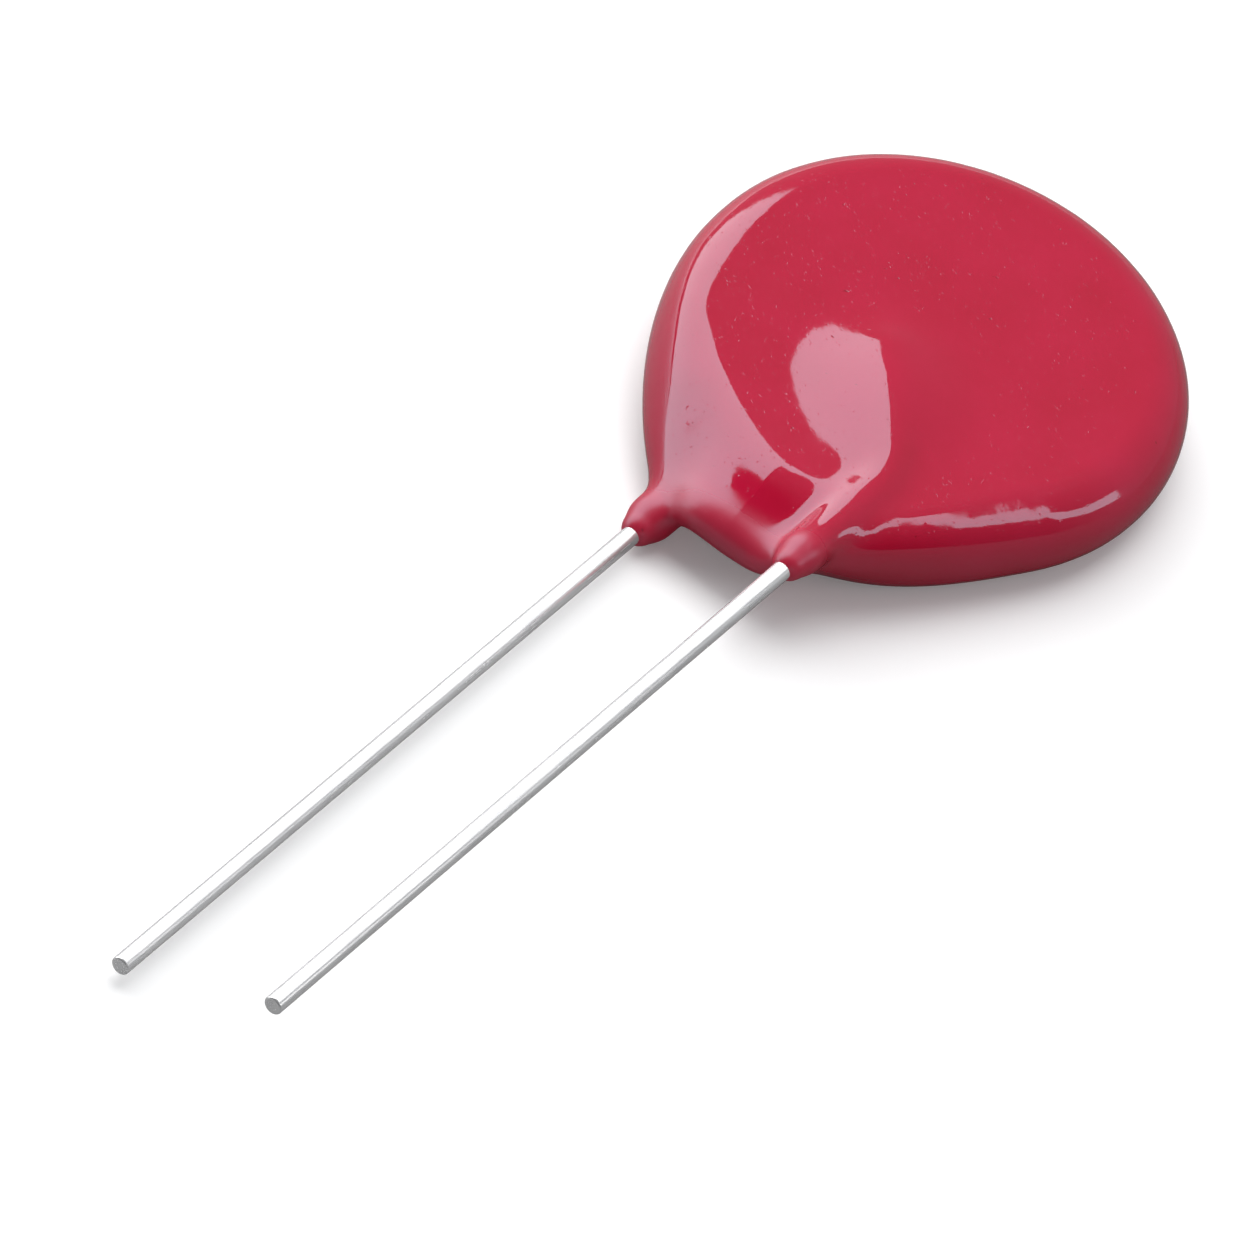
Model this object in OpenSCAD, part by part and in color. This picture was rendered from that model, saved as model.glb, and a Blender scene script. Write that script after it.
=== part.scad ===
/* [Ceramic element] */
// Diameter of the sintered ceramic disc
disc_d = 19.6; // [15:0.1:24]
// Thickness of the sintered ceramic disc
disc_t = 2.0; // [1.2:0.05:3.2]
// Thickness of the fired metal electrode on each face
electrode_t = 0.06; // [0.03:0.01:0.12]
// Bare ceramic left between the electrode and the disc's rim
electrode_margin = 1.0; // [0.5:0.1:2]

/* [Insulating plate] */
// Thickness of the alumina plate on the front electrode
plate_t = 0.5; // [0.35:0.05:0.8]
// Distance from the disc's rim in to the plate's rim
plate_margin = 1.3; // [0.8:0.1:2.5]
// Diameter of the window that lets the link reach the electrode
window_d = 3.2; // [2:0.1:4.5]

/* [Leads] */
// Diameter of the tinned copper wire
lead_d = 0.81; // [0.6:0.01:1]
// Distance across between the two lead axes
lead_pitch = 6.6; // [5:0.1:8.5]
// Free length of each lead below the coating
lead_free = 33.5; // [5:0.1:40]
// Rounding of the cropped wire ends
crop_round = 0.1; // [0.04:0.01:0.2]
// Length of the rolled groove that keys each wire into the epoxy
groove_l = 0.7; // [0.6:0.05:1]
// Depth of that groove
groove_depth = 0.07; // [0.04:0.01:0.12]
// Depth inside the disc's rim at which the front lead starts to bend
bend_depth = 0.3; // [0.1:0.1:3]
// Radius of the front lead's bend, to the wire's axis
bend_r = 4.0; // [1:0.1:5]
// Angle of the front lead's bend, whose sides are as 3, 4 and 5
bend_angle = 36.8699; // [20:0.0001:60]
// Straight end of the front lead after its bend
lead_tail = 1.2; // [0.6:0.1:2]
// Height of the back lead's end above the disc's centre
back_reach = 1.5; // [0:0.1:5]

/* [Thermal link] */
// Diameter of the low-melting link wire
link_d = 0.6; // [0.4:0.05:0.8]
// Straight length of the link above the plate
link_l = 3.35; // [2:0.05:5]
// Straight foot of the link inside the window
link_foot = 0.15; // [0.05:0.05:0.3]
// Gap between the lead's end and the link's end, filled with solder
joint_gap = 0.1; // [0.05:0.05:0.3]
// Diameter of the solder bead on that joint
bead_d = 1.1; // [0.95:0.05:1.4]
// Solder film under the wires
film_t = 0.05; // [0.03:0.01:0.1]
// Base diameter of the solder that holds the back lead
back_solder_d = 4.4; // [2:0.1:6]
// Height of the solder that holds the back lead
back_solder_h = 0.55; // [0.3:0.05:0.8]

/* [Link cover] */
// Length of the hot-melt mound over the link
cover_l = 8.4; // [6:0.1:11]
// Width of the mound
cover_w = 6.0; // [3:0.1:7]
// Height of the mound above the plate
cover_h = 0.95; // [0.6:0.05:1.4]
// Distance the mound keeps inside the plate's rim
cover_margin = 0.3; // [0.1:0.1:1]

/* [Coating] */
// Epoxy over the two faces
coat_t = 0.89; // [0.5:0.01:1.5]
// Epoxy around the rim of the disc
coat_rim = 0.95; // [0.5:0.01:1.8]
// Epoxy over the wires and the link cover
coat_wire = 0.4; // [0.25:0.01:0.8]
// Extra epoxy under both ends of the back lead's ridge, on which the part lies
ridge_swell = 0.12; // [0:0.01:0.3]
// Epoxy around each lead at the end of its leg
leg_wall = 0.26; // [0.15:0.01:0.5]
// Distance from the disc's rim down to the end of the legs
leg_drop = 5.6; // [4:0.1:8]
// Length of leg below the edge of the web
leg_l = 0.6; // [0.4:0.1:2]
// Rise of the web's edge between the legs
web_arch = 0.2; // [0:0.1:1.5]
// Half thickness of the web
web_half = 1.2; // [0.7:0.05:1.8]
// Distance past the rim over which the body thins to the web
thin_over = 3.3; // [1.5:0.1:5]
// How much nearer the middle the thinning starts towards the flanks
thin_early = 2.0; // [0:0.1:3]
// Distance from the middle to the flank's foot, back lead's side
foot_back = 1.6; // [1:0.1:4]
// Distance from the middle to the flank's foot, front lead's side
foot_front = 3.3; // [1:0.1:4]
// Angle below the middle at which the flank leaves the rim, back lead's side
flank_back = 1; // [0:1:25]
// Angle below the middle at which the flank leaves the rim, front lead's side
flank_front = 27.5; // [0:0.5:35]

/* [Hidden] */
$fn = 64;

disc_r = disc_d / 2;
lead_r = lead_d / 2;
link_r = link_d / 2;
lead_x = lead_pitch / 2;

// Heights of the stack, from the middle of its whole thickness
stack_t = disc_t + 2 * electrode_t + plate_t;
stack_back = -stack_t / 2;
disc_back = stack_back + electrode_t;
disc_front = disc_back + disc_t;
plate_back = disc_front + electrode_t;
stack_front = stack_t / 2;
lead_z = stack_front + film_t + lead_r;

// Outer size of the coated disc, whose rim is fully round
coat_half = stack_front + coat_t;
coat_r = disc_r + coat_rim;
face_r = coat_r - coat_half;
leg_r = lead_r + leg_wall;
leg_end = -(disc_r + leg_drop);
lead_tip = leg_end - lead_free;
web_edge = leg_end + leg_l;

// The front lead bends over the plate, and the link runs on along the same line to its window
bend_y = -disc_r + bend_depth;
bend_centre = [lead_x - bend_r, bend_y];
bend_end = bend_centre + bend_r * [cos(bend_angle), sin(bend_angle)];
heading = [-sin(bend_angle), cos(bend_angle)];
link_bend_r = plate_t + lead_r - link_foot;

// Distances along the link's line, from the end of the bend
link_start = lead_tail + joint_gap;
window_along = link_start + link_l + link_bend_r;
cover_along = (lead_tail + window_along) / 2;

// The mound is a slice of a spindle whose axis lies below the plate
cover_at = bend_end + cover_along * heading;
cover_r = (pow(cover_w / 2, 2) + pow(cover_h, 2)) / (2 * cover_h);
cover_z = stack_front + cover_h - cover_r;
spindle_r = (pow(cover_l / 2, 2) + pow(cover_h, 2)) / (2 * cover_h);

// The groove starts just inside the coating
groove_r = (pow(groove_l / 2, 2) + pow(groove_depth, 2)) / (2 * groove_depth);
groove_at = lead_free + 0.1 + groove_l / 2;

// Blends between the coated parts
wire_blend = 0.9;
cover_blend = 1.0;
edge_blend = 1.2;
coat_wire_r = lead_r + coat_wire;
lead_foot = web_edge + coat_wire_r;

// Where the web's middle steps to each lead's side, and how far
web_step = 2.6;
step_rate = 0.9;
web_lean_back = 1.1;
web_lean_front = 0.8;

// Directions and points of the coating's surface
wide_spokes = 60;
fine_spokes = 40;
fine_sector = 60;
spoke_points = 19;
edge_points = 9;
root_steps = 13;
reach = 6;

function clamp(v, low, high) = min(max(v, low), high);
function ease(t) = let (c = clamp(t, 0, 1)) c * c * c * (c * (6 * c - 15) + 10);
function mix(a, b, t) = a + (b - a) * t;
function soft_min(a, b, k) = min(a, b) - pow(max(1 - abs(a - b) / (1.5 * k), 0), 3) * k / 4;
function soft_max(a, b, k) = -soft_min(-a, -b, k);
function soft_step(x) = let (e = exp(2 * x)) (e - 1) / (e + 1);
function flat(at, z) = [at[0], at[1], z];

// Distance in plan from one side of the outline: the rim's circle, then an arc to the foot
function from_side(x, y, foot, angle) =
    let (
        away = [cos(angle), -sin(angle)],
        corner = [foot, web_edge + web_half],
        lean = corner * away,
        arc_r = (corner * corner + face_r * face_r - 2 * face_r * lean) / (2 * max(face_r - lean, 0.001)),
        centre = (face_r - arc_r) * away,
        past = x * away[1] - y * away[0]
    )
    past > 0 ? norm([x, y] - centre) - arc_r : norm([x, y]) - face_r;

// Distance in plan from the area that the round edge surrounds
function from_plan(x, y) =
    let (
        side = x > 0 ? from_side(x, y, foot_front, flank_front) : from_side(-x, y, foot_back, flank_back),
        arch = web_arch * max(1 - pow(x / lead_x, 2), 0)
    )
    soft_max(side, web_edge + web_half + arch - y, edge_blend);

// The body thins past the rim, and the web's middle steps towards a lead on each side
function thin_from(x, y) = coat_r - 0.15 - thin_early * max(-y, 0) * abs(x) / max(x * x + y * y, 1);
function half_thick(x, y) = mix(coat_half, web_half, ease((norm([x, y]) - thin_from(x, y)) / thin_over));
function lean(x) =
    (web_lean_back * (soft_step(step_rate * (x + web_step)) - 1)
    + web_lean_front * (soft_step(step_rate * (x - web_step)) + 1)) / 2;
function middle(x, y) = (coat_half - half_thick(x, y)) * lean(x);
function from_body(p) =
    norm([max(from_plan(p[0], p[1]), 0), p[2] - middle(p[0], p[1])]) - half_thick(p[0], p[1]);

// Distance from the coat over the front lead: straight, round its bend, then on over the link
function from_front_lead(p) =
    let (
        d = [p[0], p[1]] - bend_centre,
        along = d * heading,
        across = d[0] * heading[1] - d[1] * heading[0] - bend_r,
        sunk = lead_z - link_r * clamp(along / window_along, 0, 1),
        away = d[1] < 0 ? [p[0] - lead_x, min(p[1] - lead_foot, 0), p[2] - lead_z]
            : along > 0 ? [across, max(along - window_along, 0), p[2] - sunk]
            : [norm(d) - bend_r, 0, p[2] - lead_z]
    )
    norm(away) - coat_wire_r + 0.02;

// Distance from the coat over the back lead, a little thicker at both ends
function from_back_lead(p) =
    let (
        l = back_reach - lead_foot,
        t = clamp((p[1] - lead_foot) / l, 0, 1)
    )
    norm(p - [-lead_x, lead_foot + t * l, -lead_z]) - coat_wire_r - ridge_swell * pow(2 * t - 1, 2);

// Distance from the coat over the link cover
function from_cover(p) =
    let (
        d = [p[0] - cover_at[0], p[1] - cover_at[1]],
        along = d * heading,
        across = d[0] * heading[1] - d[1] * heading[0],
        r = sqrt(max(pow(spindle_r, 2) - along * along, 0)) - (spindle_r - cover_r)
    )
    norm([across, p[2] - cover_z]) - r - coat_wire;

// Distance from the outside of the coating, negative inside it
function from_skin(p) =
    let (
        leads = min(from_front_lead(p), from_back_lead(p)),
        dipped = soft_min(from_body(p), leads, wire_blend)
    )
    p[2] > 0 ? soft_min(dipped, from_cover(p), cover_blend) : dipped;

// Where a line from the inside meets the surface, by halving
function meet(from, dir, near, far, steps) =
    let (at = (near + far) / 2)
    steps == 0 ? from + at * dir
    : from_skin(from + at * dir) < 0 ? meet(from, dir, at, far, steps - 1)
    : meet(from, dir, near, at, steps - 1);

// Length of a spoke, from the disc's centre to where the round edge begins
function spoke_length(d, near, far, steps) =
    let (at = (near + far) / 2)
    steps == 0 ? at
    : from_plan(at * d[0], at * d[1]) < 0 ? spoke_length(d, at, far, steps - 1)
    : spoke_length(d, near, at, steps - 1);

function on_middle(at) = [at[0], at[1], middle(at[0], at[1])];

// Points of one spoke, out over the front, round the edge and back below
function spoke(a) =
    let (
        d = [cos(a), sin(a)],
        l = spoke_length(d, 0, -leg_end, root_steps + 4),
        seats = [for (j = [1 : spoke_points]) on_middle(l * j / spoke_points * d)],
        over = [for (s = seats) meet(s, [0, 0, 1], 0, reach, root_steps)],
        fan = [for (j = [1 : edge_points]) 90 - 180 * j / (edge_points + 1)],
        last = seats[spoke_points - 1],
        rounded = [for (t = fan) meet(last, flat(cos(t) * d, sin(t)), 0, reach, root_steps)],
        below = [for (j = [spoke_points - 1 : -1 : 0]) meet(seats[j], [0, 0, -1], 0, reach, root_steps)]
    )
    concat(over, rounded, below);

spoke_angles = concat(
    [for (i = [0 : wide_spokes - 1]) -90 + fine_sector / 2 + (360 - fine_sector) * i / wide_spokes],
    [for (i = [0 : fine_spokes - 1]) 270 - fine_sector / 2 + fine_sector * i / fine_spokes]
);

spokes = [for (a = spoke_angles) spoke(a)];

// The part lies on the back lead's ridge and on its rim, which tilts it a little about Y
under = [for (s = spokes) each [for (p = s) if (p[2] < 0) p]];
left_under = [for (p = under) if (p[0] < 0) p];
right_under = [for (p = under) if (p[0] > 0) p];

function low_point(points, tilt) = min([for (p = points) p[2] * cos(tilt) - p[0] * sin(tilt)]);

// The tilt at which both sides are equally low, by halving
function tilt_between(near, far, steps) =
    let (at = (near + far) / 2)
    steps == 0 ? at
    : low_point(left_under, at) < low_point(right_under, at) ? tilt_between(at, far, steps - 1)
    : tilt_between(near, at, steps - 1);

rest_tilt = round(tilt_between(-10, 10, 14) * 100) / 100;

// The part's origin is the middle of its footprint, and its lowest point is at zero
lowest = low_point(under, rest_tilt);
origin_y = (coat_r + lead_tip) / 2;

module skin() {
    n = len(spokes);
    m = len(spokes[0]);
    hubs = [for (side = [1, -1]) meet([0, 0, 0], [0, 0, side], 0, reach, root_steps)];
    walls = [for (i = [0 : n - 1], k = [0 : m - 2])
        let (a = i * m + k, b = (i + 1) % n * m + k)
        each [[a, b, b + 1], [a, b + 1, a + 1]]];
    caps = [for (i = [0 : n - 1])
        let (a = i * m, b = (i + 1) % n * m)
        each [[b, a, n * m], [a + m - 1, b + m - 1, n * m + 1]]];
    polyhedron(concat([for (s = spokes) each s], hubs), concat(walls, caps));
}

// The coat around one lead, along +Z from its end, with a rounded lip on the wire
module leg() {
    root = leg_l + coat_wire_r;
    rotate_extrude() {
        polygon([[0, leg_wall], [leg_r, leg_wall], [coat_wire_r - 0.03, root], [0, root + 0.4]]);
        translate([lead_r, leg_wall]) circle(leg_wall);
        square([lead_r, leg_wall]);
    }
}

module placed() {
    translate([0, -origin_y, -lowest]) rotate([0, rest_tilt, 0]) children();
}

// Stands a shape on a height of the stack
module at_height(z) {
    translate([0, 0, z]) children();
}

// A straight wire along +Z
module wire(r, l) {
    cylinder(r = r, h = l);
}

// A lead along +Z, its first end cropped and rounded, with the groove that keys it
module cropped_lead(l) {
    rotate_extrude() difference() {
        union() {
            translate([0, crop_round]) square([lead_r, l - crop_round]);
            square([lead_r - crop_round, 2 * crop_round]);
            translate([lead_r - crop_round, crop_round]) circle(crop_round);
        }
        translate([lead_r + groove_r - groove_depth, groove_at]) circle(groove_r);
    }
}

module along_y(x, y, z) {
    translate([x, y, z]) rotate([-90, 0, 0]) children();
}

// Puts a shape at a distance along the link's line from the end of the bend, with +Y as its heading
module on_link_line(along) {
    translate([bend_centre[0], bend_centre[1], 0]) rotate([0, 0, bend_angle])
        translate([bend_r, along, 0]) children();
}

module disc_shape() {
    at_height(disc_back) cylinder(d = disc_d, h = disc_t);
}

module electrode_shape(z) {
    at_height(z) cylinder(d = disc_d - 2 * electrode_margin, h = electrode_t);
}

module plate_shape() {
    at_height(plate_back) cylinder(d = disc_d - 2 * plate_margin, h = plate_t);
}

module window_shape() {
    on_link_line(window_along) at_height(plate_back) cylinder(d = window_d, h = plate_t);
}

module front_lead_shape() {
    along_y(lead_x, lead_tip, lead_z) cropped_lead(bend_y - lead_tip);
    translate([bend_centre[0], bend_centre[1], lead_z])
        rotate_extrude(angle = bend_angle) translate([bend_r, 0]) circle(lead_r);
    on_link_line(0) along_y(0, 0, lead_z) wire(lead_r, lead_tail);
}

module back_lead_shape() {
    along_y(-lead_x, lead_tip, -lead_z) cropped_lead(back_reach - lead_tip);
}

module link_shape() {
    on_link_line(window_along - link_bend_r) {
        translate([0, 0, lead_z]) rotate([90, 0, 0]) wire(link_r, link_l);
        translate([0, 0, lead_z - link_bend_r]) rotate([90, 0, 90])
            rotate_extrude(angle = 90) translate([link_bend_r, 0]) circle(link_r);
        translate([0, link_bend_r, plate_back + film_t]) wire(link_r, link_foot);
    }
}

// A spindle about +Z, widest at zero
module spindle() {
    sweep = acos(1 - cover_r / spindle_r);
    angles = [for (i = [-12 : 12]) sweep * i / 12];
    rotate_extrude() polygon([for (a = angles) [spindle_r * (cos(a) - 1) + cover_r, spindle_r * sin(a)]]);
}

module cover_shape() {
    intersection() {
        on_link_line(cover_along) along_y(0, 0, cover_z) spindle();
        at_height(stack_front) cylinder(d = disc_d - 2 * (plate_margin + cover_margin), h = cover_h + 1);
    }
}

module bead_shape() {
    intersection() {
        on_link_line(lead_tail + joint_gap / 2) along_y(0, 0, lead_z) sphere(d = bead_d);
        at_height(stack_front) cylinder(d = disc_d, h = bead_d * 2);
    }
}

module back_solder_shape() {
    ball_r = (pow(back_solder_d / 2, 2) + pow(back_solder_h, 2)) / (2 * back_solder_h);
    intersection() {
        translate([-lead_x, 0, stack_back + ball_r - back_solder_h]) sphere(r = ball_r, $fn = 240);
        at_height(stack_back - 2 * back_solder_h) cylinder(d = disc_d, h = 2 * back_solder_h);
    }
}

module coating() {
    color("crimson") placed() difference() {
        union() {
            skin();
            along_y(lead_x, leg_end, lead_z) leg();
            along_y(-lead_x, leg_end, -lead_z) leg();
        }
        disc_shape();
        electrode_shape(stack_back);
        electrode_shape(disc_front);
        plate_shape();
        front_lead_shape();
        back_lead_shape();
        cover_shape();
        bead_shape();
        back_solder_shape();
        link_shape();
    }
}

module varistor_disc() {
    color("dimgray") placed() disc_shape();
}

module front_electrode() {
    color("gainsboro") placed() electrode_shape(disc_front);
}

module back_electrode() {
    color("gainsboro") placed() electrode_shape(stack_back);
}

module insulator_plate() {
    color("white") placed() difference() {
        plate_shape();
        window_shape();
    }
}

module front_lead() {
    color("silver") placed() front_lead_shape();
}

module back_lead() {
    color("silver") placed() back_lead_shape();
}

module thermal_link() {
    color("lightslategray") placed() link_shape();
}

module link_cover() {
    color("goldenrod") placed() difference() {
        cover_shape();
        front_lead_shape();
        link_shape();
        bead_shape();
    }
}

module lead_solder() {
    color("darkgray") placed() difference() {
        bead_shape();
        front_lead_shape();
        link_shape();
    }
}

module link_solder() {
    color("darkgray") placed() difference() {
        window_shape();
        link_shape();
    }
}

module back_solder() {
    color("darkgray") placed() difference() {
        back_solder_shape();
        back_lead_shape();
    }
}

coating();
varistor_disc();
front_electrode();
back_electrode();
insulator_plate();
front_lead();
back_lead();
thermal_link();
link_cover();
lead_solder();
link_solder();
back_solder();
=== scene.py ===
from math import cos, pi, radians, sin, sqrt
import bpy
import numpy as np
from mathutils import Matrix, Vector


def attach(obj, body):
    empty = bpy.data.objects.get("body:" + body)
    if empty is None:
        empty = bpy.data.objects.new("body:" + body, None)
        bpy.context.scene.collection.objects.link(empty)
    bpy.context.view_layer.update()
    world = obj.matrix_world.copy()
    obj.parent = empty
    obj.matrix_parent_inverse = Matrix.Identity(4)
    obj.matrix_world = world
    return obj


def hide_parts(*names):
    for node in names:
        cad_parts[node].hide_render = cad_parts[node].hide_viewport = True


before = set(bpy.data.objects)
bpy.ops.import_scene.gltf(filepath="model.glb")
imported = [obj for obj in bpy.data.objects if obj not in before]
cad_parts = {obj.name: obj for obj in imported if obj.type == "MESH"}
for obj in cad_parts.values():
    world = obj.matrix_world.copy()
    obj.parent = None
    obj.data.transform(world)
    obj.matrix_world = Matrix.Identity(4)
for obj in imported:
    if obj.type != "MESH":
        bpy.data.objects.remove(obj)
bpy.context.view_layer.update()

# Sizes in millimetres from the middle of the ceramic stack. They are the construction's own, but the web
# is a little thinner at its edge and the legs join a little more softly, for their reflections.
REST_TURN = Matrix.Rotation(radians(2.66), 3, "Y")
ORIGIN_Y = -19.075
LOWEST = -2.59426

COAT_R = 10.75
COAT_HALF = 2.2
FACE_R = COAT_R - COAT_HALF
LEAD_X = 3.3
LEAD_Z = 1.765
LEG_R = 0.665
LEG_END = -15.4
LEG_LENGTH = 0.6
WEB_EDGE = LEG_END + LEG_LENGTH
WEB_HALF = 0.9
WEB_FOOT = WEB_EDGE + WEB_HALF
WEB_ARCH = 0.2
THIN_FROM = COAT_R - 0.15
THIN_OVER = 4.4
THIN_EARLY = 2.0
FOOT_BACK, FOOT_FRONT = 1.6, 3.3
FLANK_BACK, FLANK_FRONT = radians(1), radians(27.5)
WEB_STEP, STEP_RATE = 2.6, 0.9
WEB_LEAN_BACK, WEB_LEAN_FRONT = 1.1, 0.8
COAT_WIRE_R = 0.805
LEAD_FOOT = WEB_EDGE + COAT_WIRE_R
BACK_REACH = 1.5
RIDGE_SWELL = 0.12
RIDGE_INSET = 0.02
BEND_CENTRE = (-0.7, -9.5)
BEND_R = 4.0
BEND_ANGLE = radians(36.8699)
HEADING = (-sin(BEND_ANGLE), cos(BEND_ANGLE))
WINDOW_ALONG = 5.405
LINK_R = 0.3
COVER_AT = (0.5185, -4.458)
COVER_WIDE_R = 5.2118
COVER_LONG_R = 9.7592
COVER_Z = -2.9518
COVER_COAT = 0.4
WIRE_BLEND, COVER_BLEND, EDGE_BLEND, LEG_BLEND = 0.9, 1.0, 1.2, 0.65

# The skin is meshed over a grid in this box, and its points are then pulled onto it
GRID = 0.14
PULLS = 4
SKIN_LOW, SKIN_HIGH = (-11.2, -15.9, -3.1), (11.2, 11.2, 3.4)
INSET = 0.02

# The photograph is this many pixels wide
PHOTO_SIDE = 1254


def lying(points):
    """Millimetres in the disc's own frame to metres in the row's, with the part lying on its back."""
    return (np.asarray(points, float) @ np.array(REST_TURN).T + (0, -ORIGIN_Y, -LOWEST)) * 0.001


def ease(t):
    """A smooth step from 0 to 1, level at both ends."""
    t = np.clip(t, 0, 1)
    return t * t * t * (t * (6 * t - 15) + 10)


def soft_min(a, b, k):
    """The lesser of two distances, rounded where they meet, as k sets."""
    return np.minimum(a, b) - np.maximum(1 - np.abs(a - b) / (1.5 * k), 0) ** 3 * k / 4


def soft_max(a, b, k):
    """The greater of two distances, rounded in the same way."""
    return -soft_min(-a, -b, k)


def from_wire(x, y, z, start, end, r):
    """Distance from a straight round wire."""
    start, run = np.array(start, float), np.array(end, float) - np.array(start, float)
    along = (x - start[0]) * run[0] + (y - start[1]) * run[1] + (z - start[2]) * run[2]
    t = np.clip(along / (run @ run), 0, 1)
    return np.sqrt((x - start[0] - t * run[0]) ** 2 + (y - start[1] - t * run[1]) ** 2
                   + (z - start[2] - t * run[2]) ** 2) - r


def from_side(x, y, foot, angle):
    """Distance in plan from one side: the rim's circle, then an arc down to the web's corner."""
    away = (cos(angle), -sin(angle))
    corner = (foot, WEB_FOOT)
    lean = corner[0] * away[0] + corner[1] * away[1]
    arc_r = corner[0] ** 2 + corner[1] ** 2 + FACE_R ** 2 - 2 * FACE_R * lean
    arc_r /= 2 * max(FACE_R - lean, 0.001)
    centre = ((FACE_R - arc_r) * away[0], (FACE_R - arc_r) * away[1])
    past = x * away[1] - y * away[0] > 0
    return np.where(past, np.hypot(x - centre[0], y - centre[1]) - arc_r, np.hypot(x, y) - FACE_R)


def from_body(x, y, z):
    """Distance from the dipped disc and the web that hangs from it."""
    side = np.where(x > 0, from_side(x, y, FOOT_FRONT, FLANK_FRONT), from_side(-x, y, FOOT_BACK, FLANK_BACK))
    arch = WEB_ARCH * np.maximum(1 - (x / LEAD_X) ** 2, 0)
    plan = soft_max(side, WEB_FOOT + arch - y, EDGE_BLEND)
    thin_from = THIN_FROM - THIN_EARLY * np.maximum(-y, 0) * np.abs(x) / np.maximum(x * x + y * y, 1)
    half = COAT_HALF + (WEB_HALF - COAT_HALF) * ease((np.hypot(x, y) - thin_from) / THIN_OVER)
    lean = (WEB_LEAN_BACK * (np.tanh(STEP_RATE * (x + WEB_STEP)) - 1)
            + WEB_LEAN_FRONT * (np.tanh(STEP_RATE * (x - WEB_STEP)) + 1)) / 2
    middle = (COAT_HALF - half) * lean
    return np.hypot(np.maximum(plan, 0), z - middle) - half


def from_legs(x, y, z):
    """Distance from the short legs of epoxy round the two leads."""
    tip = LEG_END + 0.7 * LEG_R
    legs = []
    for side in (1, -1):
        end, foot = (side * LEAD_X, tip, side * LEAD_Z), (side * LEAD_X, LEAD_FOOT, side * LEAD_Z)
        legs.append(from_wire(x, y, z, end, foot, LEG_R))
    return np.minimum(*legs)


def from_ridges(x, y, z):
    """Distance from the ridges over the leads; the front one runs round the bend and on over the link."""
    dx, dy = x - BEND_CENTRE[0], y - BEND_CENTRE[1]
    along = dx * HEADING[0] + dy * HEADING[1]
    across = dx * HEADING[1] - dy * HEADING[0] - BEND_R
    sunk = LEAD_Z - LINK_R * np.clip(along / WINDOW_ALONG, 0, 1)
    straight = np.sqrt((x - LEAD_X) ** 2 + np.minimum(y - LEAD_FOOT, 0) ** 2 + (z - LEAD_Z) ** 2)
    bent = np.hypot(np.hypot(dx, dy) - BEND_R, z - LEAD_Z)
    onward = np.sqrt(across ** 2 + np.maximum(along - WINDOW_ALONG, 0) ** 2 + (z - sunk) ** 2)
    front = np.where(dy < 0, straight, np.where(along > 0, onward, bent)) - COAT_WIRE_R + RIDGE_INSET
    length = BACK_REACH - LEAD_FOOT
    t = np.clip((y - LEAD_FOOT) / length, 0, 1)
    back = np.sqrt((x + LEAD_X) ** 2 + (y - LEAD_FOOT - t * length) ** 2 + (z + LEAD_Z) ** 2)
    return np.minimum(front, back - COAT_WIRE_R - RIDGE_SWELL * (2 * t - 1) ** 2)


def from_mound(x, y, z):
    """Distance from the mound over the thermal link, a slice of a spindle."""
    dx, dy = x - COVER_AT[0], y - COVER_AT[1]
    along = dx * HEADING[0] + dy * HEADING[1]
    across = dx * HEADING[1] - dy * HEADING[0]
    r = np.sqrt(np.maximum(COVER_LONG_R ** 2 - along ** 2, 0)) - (COVER_LONG_R - COVER_WIDE_R)
    return np.hypot(across, z - COVER_Z) - r - COVER_COAT


def waves(x, y, z):
    """The slight unevenness of epoxy that set as it hung, one to six millimetres from crest to crest."""
    return (0.004 * np.sin(1.13 * x + 0.7 * y + 0.4) * np.cos(0.9 * y - 0.5 * x + 1.1)
            + 0.002 * np.sin(2.3 * x - 1.1 * y + 2.0 * z) * np.cos(1.9 * y + 0.8 * x)
            + 0.0008 * np.sin(5.1 * x + 2.2 * y) * np.sin(4.3 * y - 1.7 * x + 3.0 * z))


def from_skin(x, y, z):
    """Distance from the epoxy's outside, negative inside it."""
    wires = soft_min(from_ridges(x, y, z), from_legs(x, y, z), LEG_BLEND)
    dipped = soft_min(from_body(x, y, z), wires, WIRE_BLEND)
    whole = np.where(z > 0, soft_min(dipped, from_mound(x, y, z), COVER_BLEND), dipped)
    return whole + INSET + waves(x, y, z)


def slope(x, y, z, step=0.01):
    """The way out of the skin at each point."""
    g = np.stack([from_skin(x + step, y, z) - from_skin(x - step, y, z),
                  from_skin(x, y + step, z) - from_skin(x, y - step, z),
                  from_skin(x, y, z + step) - from_skin(x, y, z - step)], -1)
    return g / np.maximum(np.linalg.norm(g, axis=-1, keepdims=True), 1e-9)


def crossings(value):
    """For each grid cell, where its edges cross the skin, as a sum and a count of them."""
    shape = [n - 1 for n in value.shape]
    total = np.zeros(shape + [3])
    count = np.zeros(shape)
    for axis in range(3):
        others = [k for k in range(3) if k != axis]
        for i in (0, 1):
            for j in (0, 1):
                near = [slice(0, n) for n in shape]
                near[others[0]] = slice(i, shape[others[0]] + i)
                near[others[1]] = slice(j, shape[others[1]] + j)
                far = list(near)
                far[axis] = slice(1, shape[axis] + 1)
                a, b = value[tuple(near)], value[tuple(far)]
                crossed = (a < 0) != (b < 0)
                share = np.where(crossed, a / np.where(crossed, a - b, 1), 0)
                offset = np.zeros(shape + [3])
                offset[..., axis] = share * GRID
                offset[..., others[0]] = i * GRID
                offset[..., others[1]] = j * GRID
                total += np.where(crossed[..., None], offset, 0)
                count += crossed
    return total, count


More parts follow.
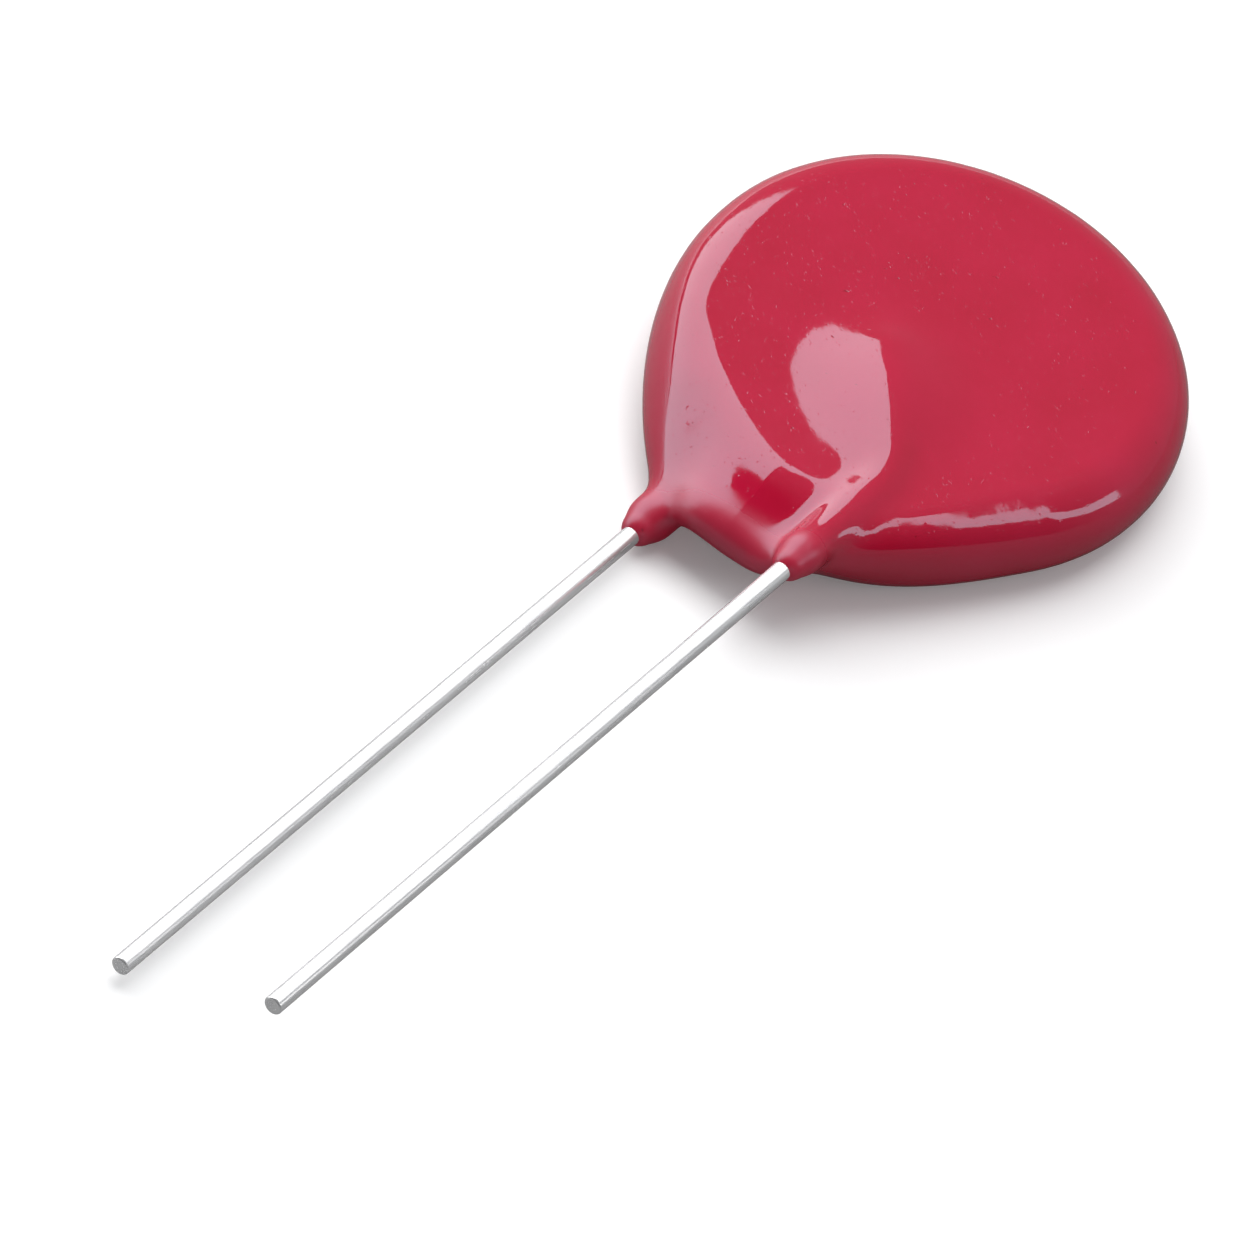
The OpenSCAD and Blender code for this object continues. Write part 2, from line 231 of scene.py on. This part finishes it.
def rings(inside, number):
    """For each grid edge that crosses the skin, the numbers of the points in the four cells round it."""
    shape = number.shape
    faces = []
    for axis in range(3):
        others = [(axis + 1) % 3, (axis + 2) % 3]
        near = [slice(1, n) for n in shape]
        near[axis] = slice(0, shape[axis])
        far = list(near)
        far[axis] = slice(1, shape[axis] + 1)
        a, b = inside[tuple(near)], inside[tuple(far)]

        def cell(du, dv):
            pick = list(near)
            pick[others[0]] = slice(1 - du, shape[others[0]] - du)
            pick[others[1]] = slice(1 - dv, shape[others[1]] - dv)
            return number[tuple(pick)]

        ring = np.stack([cell(1, 1), cell(0, 1), cell(0, 0), cell(1, 0)], -1)
        faces += [ring[a & ~b], ring[~a & b][:, ::-1]]
    return np.concatenate(faces)


def skin_mesh():
    """Points and four-sided faces of the skin, with one point in each grid cell that it crosses."""
    axes = [np.arange(low, high, GRID) for low, high in zip(SKIN_LOW, SKIN_HIGH)]
    value = from_skin(*np.meshgrid(*axes, indexing="ij"))
    total, count = crossings(value)
    used = count > 0
    corner = np.stack(np.meshgrid(*[places[:-1] for places in axes], indexing="ij"), -1)
    points = corner[used] + total[used] / count[used][:, None]
    for _ in range(PULLS):
        points = points - slope(*points.T) * from_skin(*points.T)[:, None]
    number = np.full(used.shape, -1)
    number[used] = np.arange(len(points))
    return points, rings(value < 0, number)


def add_object(name, data):
    """Puts an object of this data into the scene."""
    thing = bpy.data.objects.new(name, data)
    bpy.context.scene.collection.objects.link(thing)
    return thing


def new_mesh(name, points, faces):
    """An object from points in metres in the row's frame and faces by their numbers."""
    mesh = bpy.data.meshes.new(name)
    mesh.from_pydata([tuple(p) for p in points], [], [tuple(f) for f in faces])
    mesh.update()
    return add_object(name, mesh)


def epoxy_skin():
    """The coating's outside as one smooth mesh, with the distance's own slope as its normals."""
    points, faces = skin_mesh()
    normals = slope(*points.T) @ np.array(REST_TURN).T
    piece = new_mesh("epoxy_skin", lying(points), faces.tolist())
    piece.data.polygons.foreach_set("use_smooth", [True] * len(piece.data.polygons))
    piece.data.normals_split_custom_set_from_vertices([tuple(n) for n in normals])
    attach(piece, "root")
    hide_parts("coating")
    piece.data.materials.append(epoxy_material())


def new_material(name):
    """A material, its node tree and its shader."""
    material = bpy.data.materials.new(name)
    material.use_nodes = True
    return material, material.node_tree, material.node_tree.nodes["Principled BSDF"]


def noise(tree, where, scale, detail, rough):
    """Cloudy values about 0.5."""
    node = tree.nodes.new("ShaderNodeTexNoise")
    node.inputs["Scale"].default_value = scale
    node.inputs["Detail"].default_value = detail
    node.inputs["Roughness"].default_value = rough
    tree.links.new(where, node.inputs["Vector"])
    return node.outputs["Fac"]


def between(tree, value, low, high, to_low=0.0, to_high=1.0):
    """A value's place between two limits, as a place between two others."""
    node = tree.nodes.new("ShaderNodeMapRange")
    for name, number in zip(("From Min", "From Max", "To Min", "To Max"), (low, high, to_low, to_high)):
        node.inputs[name].default_value = number
    tree.links.new(value, node.inputs["Value"])
    return node.outputs["Result"]


def blend_colours(tree, share, first, second):
    """The first colour, and the second by its share."""
    node = tree.nodes.new("ShaderNodeMix")
    node.data_type = "RGBA"
    tree.links.new(share, node.inputs["Factor"])
    for slot, colour in ((node.inputs["A"], first), (node.inputs["B"], second)):
        if isinstance(colour, tuple):
            slot.default_value = (*colour, 1)
        else:
            tree.links.new(colour, slot)
    return node.outputs["Result"]


def combine(tree, operation, a, b):
    """Two values put together by one step of arithmetic."""
    node = tree.nodes.new("ShaderNodeMath")
    node.operation = operation
    for slot, value in zip(node.inputs, (a, b)):
        if isinstance(value, (int, float)):
            slot.default_value = value
        else:
            tree.links.new(value, slot)
    return node.outputs["Value"]


def place(tree):
    """Where a point lies on its own object, in metres."""
    return tree.nodes.new("ShaderNodeTexCoord").outputs["Object"]


def coordinate(tree, where, axis):
    """One coordinate of a place."""
    node = tree.nodes.new("ShaderNodeSeparateXYZ")
    tree.links.new(where, node.inputs["Vector"])
    return node.outputs[axis]


def bump(tree, height, strength, distance, normal=None):
    """A normal tilted as a relief of this height, on top of another normal where one is given."""
    node = tree.nodes.new("ShaderNodeBump")
    node.inputs["Strength"].default_value = strength
    node.inputs["Distance"].default_value = distance
    tree.links.new(height, node.inputs["Height"])
    if normal:
        tree.links.new(normal, node.inputs["Normal"])
    return node.outputs["Normal"]


def new_group(name, inputs):
    """An empty node group that takes these inputs and puts out a colour, a roughness and a normal."""
    group = bpy.data.node_groups.new(name, "ShaderNodeTree")
    outputs = {"Colour": "Color", "Roughness": "Float", "Normal": "Vector"}
    for way, sockets in (("INPUT", inputs), ("OUTPUT", outputs)):
        for title, kind in sockets.items():
            group.interface.new_socket(name=title, in_out=way, socket_type="NodeSocket" + kind)
    return group, group.nodes.new("NodeGroupInput").outputs, group.nodes.new("NodeGroupOutput").inputs


def mottle_group():
    """Cloudy patches of two colours, with a roughness that follows them and a fine grain in relief."""
    inputs = {"Vector": "Vector", "Patch Scale": "Float", "Grain Scale": "Float", "First": "Color",
              "Second": "Color", "Smooth": "Float", "Coarse": "Float", "Relief": "Float"}
    group, given, made = new_group("mottle", inputs)
    patch = noise(group, given["Vector"], 1, 4, 0.6)
    grain = noise(group, given["Vector"], 1, 3, 0.6)
    group.links.new(given["Patch Scale"], patch.node.inputs["Scale"])
    group.links.new(given["Grain Scale"], grain.node.inputs["Scale"])
    patch_part, grain_part = combine(group, "MULTIPLY", patch, 0.6), combine(group, "MULTIPLY", grain, 0.4)
    mixed = combine(group, "ADD", patch_part, grain_part)
    share = between(group, mixed, 0.35, 0.65)
    rough = between(group, mixed, 0.35, 0.65)
    group.links.new(given["Smooth"], rough.node.inputs["To Min"])
    group.links.new(given["Coarse"], rough.node.inputs["To Max"])
    raised = bump(group, mixed, 1, 1)
    group.links.new(given["Relief"], raised.node.inputs["Distance"])
    group.links.new(blend_colours(group, share, given["First"], given["Second"]), made["Colour"])
    group.links.new(rough, made["Roughness"])
    group.links.new(raised, made["Normal"])
    return group


def drawn_group():
    """Long fine marks that a die leaves along a wire, with a broken stain over them."""
    group, given, made = new_group("drawn", {"Vector": "Vector", "Bright": "Color", "Stained": "Color"})
    stretch = group.nodes.new("ShaderNodeMapping")
    stretch.inputs["Scale"].default_value = (1, 0.02, 1)
    group.links.new(given["Vector"], stretch.inputs["Vector"])
    marks = noise(group, stretch.outputs["Vector"], 9000, 3, 0.6)
    stain = noise(group, given["Vector"], 500, 4, 0.6)
    share = between(group, stain, 0.35, 0.75)
    group.links.new(blend_colours(group, share, given["Bright"], given["Stained"]), made["Colour"])
    marked, stained = between(group, marks, 0.3, 0.7, 0.14, 0.28), between(group, stain, 0.4, 0.8, 0, 0.1)
    group.links.new(combine(group, "ADD", marked, stained), made["Roughness"])
    group.links.new(bump(group, marks, 0.3, 0.000004), made["Normal"])
    return group


def finish_with(group, name, metallic, **settings):
    """A material whose colour, roughness and normal come from a group over object coordinates."""
    material, tree, shader = new_material(name)
    node = tree.nodes.new("ShaderNodeGroup")
    node.node_tree = group
    tree.links.new(place(tree), node.inputs["Vector"])
    for key, value in settings.items():
        value = (*value, 1) if isinstance(value, tuple) else value
        node.inputs[key.replace("_", " ")].default_value = value
    tree.links.new(node.outputs["Colour"], shader.inputs["Base Color"])
    tree.links.new(node.outputs["Roughness"], shader.inputs["Roughness"])
    tree.links.new(node.outputs["Normal"], shader.inputs["Normal"])
    shader.inputs["Metallic"].default_value = metallic
    return material


def epoxy_material():
    """Glossy crimson epoxy: faintly cloudy, with an orange peel, dust grains, a few pits with painted shade
    in them, and duller legs.
    """
    crimson, deep_crimson, pit_painted_shade = (0.49, 0.005, 0.036), (0.45, 0.003, 0.026), (0.30, 0.002, 0.014)
    glossy_to, dull_from = 0.0062, 0.0052
    peel_height, speck_height = 0.0000025, 0.00001
    material, tree, shader = new_material("crimson_epoxy")
    where = place(tree)
    cloud = between(tree, noise(tree, where, 260, 4, 0.55), 0.3, 0.7)
    # The pits are sunk in relief below, and their colour is darkened here as painted shade.
    pits = between(tree, noise(tree, where, 3100, 1, 0.5), 0.235, 0.16)
    colour = blend_colours(tree, cloud, deep_crimson, crimson)
    tree.links.new(blend_colours(tree, pits, colour, pit_painted_shade), shader.inputs["Base Color"])
    rough = between(tree, noise(tree, where, 900, 4, 0.6), 0.35, 0.7, 0.05, 0.09)
    dull = between(tree, coordinate(tree, where, "Y"), glossy_to, dull_from, 0, 0.3)
    tree.links.new(combine(tree, "ADD", rough, dull), shader.inputs["Roughness"])
    dust = between(tree, noise(tree, where, 5200, 2, 0.6), 0.66, 0.8)
    peel = bump(tree, noise(tree, where, 1500, 2, 0.5), 1, peel_height)
    specks = bump(tree, combine(tree, "SUBTRACT", dust, pits), 0.5, speck_height, peel)
    tree.links.new(specks, shader.inputs["Normal"])
    shader.inputs["IOR"].default_value = 1.9
    shader.inputs["Specular Tint"].default_value = (0.45, 0.82, 1.0, 1)
    return material


def tinned_material(drawn):
    """The bright tin on the copper wires."""
    return finish_with(drawn, "bright_tin", 0.7, Bright=(0.93, 0.93, 0.93), Stained=(0.78, 0.78, 0.79))


def alloy_material(drawn):
    """The duller low-melting alloy wire of the thermal link."""
    return finish_with(drawn, "fusible_alloy", 1, Bright=(0.52, 0.52, 0.50), Stained=(0.36, 0.36, 0.37))


def oxide_material(mottle):
    """Sintered zinc oxide, a dark grey grain with paler crystals."""
    return finish_with(mottle, "sintered_oxide", 0, Patch_Scale=1500, Grain_Scale=9000,
                       First=(0.05, 0.05, 0.055), Second=(0.13, 0.13, 0.14),
                       Smooth=0.55, Coarse=0.8, Relief=0.00001)


def silver_material(mottle):
    """Fired silver paste, matt and slightly yellow."""
    return finish_with(mottle, "fired_silver", 1, Patch_Scale=700, Grain_Scale=7000,
                       First=(0.84, 0.82, 0.77), Second=(0.70, 0.67, 0.61),
                       Smooth=0.38, Coarse=0.6, Relief=0.000006)


def alumina_material(mottle):
    """White alumina with a fine grey speckle."""
    return finish_with(mottle, "white_alumina", 0, Patch_Scale=900, Grain_Scale=8000,
                       First=(0.86, 0.85, 0.82), Second=(0.72, 0.72, 0.70),
                       Smooth=0.4, Coarse=0.6, Relief=0.000004)


def resin_material(mottle):
    """Hot-melt resin, cloudy amber and slightly see-through."""
    material = finish_with(mottle, "amber_resin", 0, Patch_Scale=500, Grain_Scale=2500,
                           First=(0.55, 0.33, 0.09), Second=(0.38, 0.20, 0.05),
                           Smooth=0.18, Coarse=0.34, Relief=0.00002)
    shader = material.node_tree.nodes["Principled BSDF"]
    shader.inputs["Subsurface Weight"].default_value = 0.25
    shader.inputs["Subsurface Scale"].default_value = 0.0006
    return material


def solder_material(mottle):
    """Tin solder, bright with frosted patches where it froze last."""
    return finish_with(mottle, "frosted_solder", 1, Patch_Scale=1300, Grain_Scale=5000,
                       First=(0.74, 0.74, 0.74), Second=(0.55, 0.55, 0.56),
                       Smooth=0.18, Coarse=0.42, Relief=0.00001)


def dress_inner_pieces():
    """Gives each piece that the construction made its own finish."""
    mottle, drawn = mottle_group(), drawn_group()
    tin, silver, solder = tinned_material(drawn), silver_material(mottle), solder_material(mottle)
    finishes = {
        "front_lead": tin, "back_lead": tin, "thermal_link": alloy_material(drawn),
        "varistor_disc": oxide_material(mottle), "front_electrode": silver, "back_electrode": silver,
        "insulator_plate": alumina_material(mottle), "link_cover": resin_material(mottle),
        "lead_solder": solder, "link_solder": solder, "back_solder": solder,
    }
    for node, material in finishes.items():
        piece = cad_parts[node]
        piece.data.materials.clear()
        piece.data.materials.append(material)


def soft_panel(name, corners, faces, radiance):
    """A lit panel of a radiance as a colour value, by its corners in the disc's frame in millimetres."""
    panel = new_mesh(name, lying(corners), faces)
    material, tree, shader = new_material(name)
    tree.nodes.remove(shader)
    glow = tree.nodes.new("ShaderNodeEmission")
    glow.inputs["Strength"].default_value = radiance
    tree.links.new(glow.outputs["Emission"], tree.nodes["Material Output"].inputs["Surface"])
    panel.data.materials.append(material)
    panel.visible_camera = False


def left_panel():
    """The big panel at the left, whose near end is cut on the slant."""
    middle = np.array((-215.4, -70.4, 195))
    along, across = np.array((-0.202, -0.960, -0.194)), np.array((-0.518, 0.264, -0.814))
    plan = [(-325, -130), (-70, -130), (135, 150), (200, 240), (-230, 240), (-270, 150), (-325, 50)]
    corners = [middle + a * along + b * across for a, b in plan]
    soft_panel("left_panel", corners, [tuple(range(len(corners)))], radiance=2.7)


def by_directions(directions, distance):
    """Points at a distance, each from the plan part (x, y) of its direction."""
    return [(distance * x, distance * y, distance * sqrt(1 - x * x - y * y)) for x, y in directions]


def right_panel():
    """One narrow bent panel at the right, which the rim's shoulder shows as a line."""
    distance = 500
    near = [(0.12, 0.36), (0.40, 0.21), (0.70, 0.09), (0.88, 0.13), (0.90, 0.30), (0.82, 0.54)]
    far = [(0.15, 0.42), (0.42, 0.29), (0.69, 0.19), (0.77, 0.24), (0.79, 0.32), (0.72, 0.54)]
    count = len(near)
    faces = [(i, i + 1, count + i + 1, count + i) for i in range(count - 1)]
    soft_panel("right_panel", by_directions(near + far, distance), faces, radiance=2.2)


def soft_light(name, at, turn, length, width, radiance, highlight=False):
    """A rectangular light in metres in the row's frame, whose radiance is a colour value."""
    light = bpy.data.lights.new(name, "AREA")
    light.shape = "RECTANGLE"
    light.size, light.size_y = length, width
    light.energy = radiance * pi * length * width
    holder = add_object(name, light)
    holder.location = at
    holder.rotation_euler = turn
    holder.visible_glossy = highlight
    return holder


def wire_light():
    """A light overhead for the two wires alone, which gives them their bright middle line."""
    wires_middle = Vector((0, -0.012, 0))
    toward = Vector((0.12, 0.64, 0.76))
    at, turn = wires_middle + 0.35 * toward, toward.to_track_quat("Z", "Y").to_euler()
    holder = soft_light("wire_light", at, turn, length=0.34, width=0.2, radiance=1.1, highlight=True)
    wires = bpy.data.collections.new("wires")
    for lead in ("front_lead", "back_lead"):
        wires.objects.link(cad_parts[lead])
    holder.light_linking.receiver_collection = wires


def photo_camera():
    """The photograph's camera, by its angles and distance in millimetres from the disc's middle.

    The scale is pixels to a millimetre at that middle, which the photograph has at disc_at.
    """
    azimuth, height, roll = radians(22.924), radians(45.847), radians(19.143)
    distance, scale = 600.0, 24.8656
    disc_at = (928.904, 363.926)
    sensor = 36
    back = Vector((sin(azimuth) * cos(height), -cos(azimuth) * cos(height), sin(height)))
    level = Vector((cos(azimuth), sin(azimuth), 0))
    rise = back.cross(level)
    right = cos(roll) * level + sin(roll) * rise
    up = cos(roll) * rise - sin(roll) * level
    aside, above = [(pixel - PHOTO_SIDE / 2) / scale for pixel in disc_at]
    at = distance * back - aside * right + above * up
    lens = bpy.data.cameras.new("view")
    lens.sensor_fit = "HORIZONTAL"
    lens.sensor_width = sensor
    lens.lens = scale * distance / PHOTO_SIDE * sensor
    lens.clip_start, lens.clip_end = 0.05, 20
    camera = add_object("view", lens)
    turn = REST_TURN @ Matrix((right, up, back)).transposed()
    camera.matrix_world = Matrix.Translation(Vector(lying([at])[0])) @ turn.to_4x4()
    bpy.context.scene.camera = camera


def floor_material():
    """A pale floor to the camera; to reflected and bounced rays it is painted darker, with painted shade
    near the part and a painted shadow at the right.
    """
    material, tree, shader = new_material("pale_floor")
    seen_shade, far_shade, painted_shade_near, painted_shadow_right = 0.93, 0.85, 0.34, 0.18
    far_at, left_at, right_at = -0.09, -0.012, 0.015
    grain = noise(tree, place(tree), 40, 3, 0.5)
    seen = tree.nodes.new("ShaderNodeLightPath").outputs["Is Camera Ray"]
    across = coordinate(tree, place(tree), "X")
    # To reflected and bounced rays the floor is painted darker near the part than far off, as painted shade.
    painted_shade_share = between(tree, across, far_at, left_at)
    dim = blend_colours(tree, painted_shade_share, (far_shade,) * 3, (painted_shade_near,) * 3)
    # Darker still at the right: a painted shadow of the part, its edge roughened by the grain. dim then
    # holds the floor's colour with this painted shade and shadow.
    side = between(tree, across, left_at, right_at)
    side = combine(tree, "ADD", side, combine(tree, "MULTIPLY", grain, 0.04))
    dim = blend_colours(tree, side, dim, (painted_shadow_right,) * 3)
    tree.links.new(blend_colours(tree, seen, dim, (seen_shade,) * 3), shader.inputs["Base Color"])
    shader.inputs["Roughness"].default_value = 0.9
    shader.inputs["Specular IOR Level"].default_value = 0.1
    shader.inputs["Emission Color"].default_value = (1, 1, 1, 1)
    tree.links.new(combine(tree, "MULTIPLY", seen, 0.1), shader.inputs["Emission Strength"])
    return material


def pale_floor():
    """The floor under the part, a plain square by half its side in metres."""
    half = 0.6
    points = [(-half, -half, 0), (half, -half, 0), (half, half, 0), (-half, half, 0)]
    floor = new_mesh("pale_floor", points, [(0, 1, 2, 3)])
    floor.data.materials.append(floor_material())


def studio_air():
    """The room's dim light: even on the part, stronger behind it in reflections, white to the camera."""
    even, ahead, behind = 0.25, 0.03, 0.3
    world = bpy.data.worlds.new("studio_air")
    bpy.context.scene.world = world
    world.use_nodes = True
    tree = world.node_tree
    tree.nodes.clear()
    seen = tree.nodes.new("ShaderNodeLightPath")
    where = tree.nodes.new("ShaderNodeTexCoord").outputs["Generated"]
    reflected = between(tree, coordinate(tree, where, "Y"), -0.2, 0.6, ahead, behind)
    strength = tree.nodes.new("ShaderNodeMix")
    tree.links.new(seen.outputs["Is Glossy Ray"], strength.inputs["Factor"])
    strength.inputs["A"].default_value = even
    tree.links.new(reflected, strength.inputs["B"])
    room = tree.nodes.new("ShaderNodeBackground")
    room.inputs["Color"].default_value = (0.93, 0.95, 1, 1)
    tree.links.new(strength.outputs["Result"], room.inputs["Strength"])
    white = tree.nodes.new("ShaderNodeBackground")
    white.inputs["Strength"].default_value = 1
    mix = tree.nodes.new("ShaderNodeMixShader")
    tree.links.new(seen.outputs["Is Camera Ray"], mix.inputs["Fac"])
    tree.links.new(room.outputs["Background"], mix.inputs[1])
    tree.links.new(white.outputs["Background"], mix.inputs[2])
    out = tree.nodes.new("ShaderNodeOutputWorld")
    tree.links.new(mix.outputs["Shader"], out.inputs["Surface"])


photo_camera()
epoxy_skin()
dress_inner_pieces()

pale_floor()
studio_air()
left_panel()
right_panel()
soft_light("top_light", (-0.05, 0.16, 0.5), (-0.31, -0.10, 0), length=0.45, width=0.45, radiance=3.4)
soft_light("front_fill", (0.30, -0.26, 0.10), (1.32, 0, 0.86), length=0.3, width=0.14, radiance=2.6)
wire_light()

bpy.context.scene.view_settings.view_transform = "Standard"
